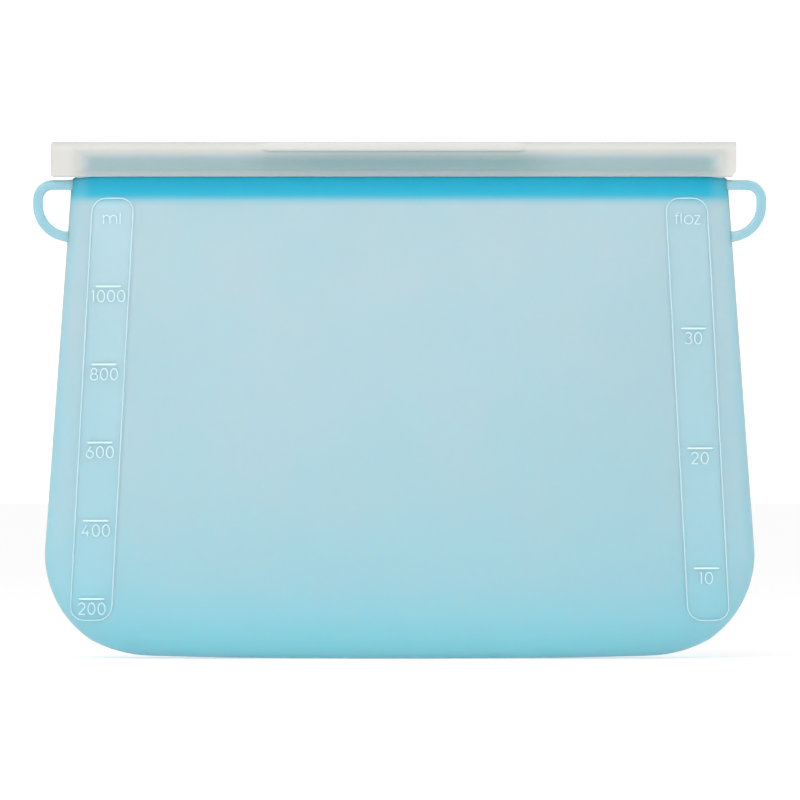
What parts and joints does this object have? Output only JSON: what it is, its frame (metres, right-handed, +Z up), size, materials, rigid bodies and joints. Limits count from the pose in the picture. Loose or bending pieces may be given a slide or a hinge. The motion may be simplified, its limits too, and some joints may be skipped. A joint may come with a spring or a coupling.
{
  "type": "reusable silicone bag",
  "caption": "Stand-up reusable silicone food bag with a slide-on seal bar, side hanging loops and polished gauge windows with raised plain figures.",
  "frame": {"origin": "middle of the base, on the surface it stands on", "axes": "+X along the mouth to the right, +Y to the back, +Z up; the gauges face -Y"},
  "size_m": [0.2444, 0.044, 0.172],
  "materials": {
    "pouch_silicone": "frosted translucent silicone, pale cyan",
    "mouth_silicone": "thick glossy silicone, strong cyan",
    "gauge_silicone": "polished clear silicone",
    "figure_silicone": "raised polished silicone, lighter than the wall",
    "bar_plastic": "translucent white polypropylene, satin"
  },
  "bodies": {
    "pouch_base": {"base_tray": "pouch_silicone", "left_edge_rim": "pouch_silicone", "right_edge_rim": "pouch_silicone"},
    "pouch_front": {"front_wall": "pouch_silicone", "front_mouth_band": "mouth_silicone", "front_sealing_bead": "mouth_silicone", "ml_gauge_panel": "gauge_silicone", "ml_gauge_figures": "figure_silicone", "floz_gauge_panel": "gauge_silicone", "floz_gauge_figures": "figure_silicone"},
    "pouch_back": {"back_wall": "pouch_silicone", "back_mouth_band": "mouth_silicone", "back_sealing_bead": "mouth_silicone"},
    "left_loop": {"left_hanging_loop": "pouch_silicone"},
    "right_loop": {"right_hanging_loop": "pouch_silicone"},
    "seal_bar": {"seal_bar_channel": "bar_plastic", "seal_bar_end_stop": "bar_plastic", "seal_bar_grip_ledges": "bar_plastic"}
  },
  "joints": [
    {"name": "seal_bar_slide", "type": "slide", "parent": "pouch_base", "child": "seal_bar", "axis": [-1, 0, 0], "range_m": [0, 0.235]},
    {"name": "front_side_opens", "type": "hinge", "parent": "pouch_base", "child": "pouch_front", "pos_m": [0, -0.02175, 0.012], "axis": [1, 0, 0], "range_deg": [0, 12], "deforming": ["front_sealing_bead"]},
    {"name": "back_side_opens", "type": "hinge", "parent": "pouch_base", "child": "pouch_back", "pos_m": [0, 0.02175, 0.012], "axis": [-1, 0, 0], "range_deg": [0, 12], "deforming": ["back_sealing_bead"]},
    {"name": "left_loop_bends", "type": "hinge", "parent": "pouch_base", "child": "left_loop", "pos_m": [-0.1109, 0, 0.1594], "axis": [0.0722, 0, 0.9974], "range_deg": [-60, 60], "stiffness_Nm_per_rad": 0.0005},
    {"name": "right_loop_bends", "type": "hinge", "parent": "pouch_base", "child": "right_loop", "pos_m": [0.1109, 0, 0.1594], "axis": [-0.0722, 0, 0.9974], "range_deg": [-60, 60], "stiffness_Nm_per_rad": 0.0005}
  ],
  "couplings": [
    {"joint": "front_side_opens", "follows": "seal_bar_slide", "rad_per_m": 0.89122},
    {"joint": "back_side_opens", "follows": "seal_bar_slide", "rad_per_m": 0.89122}
  ]
}
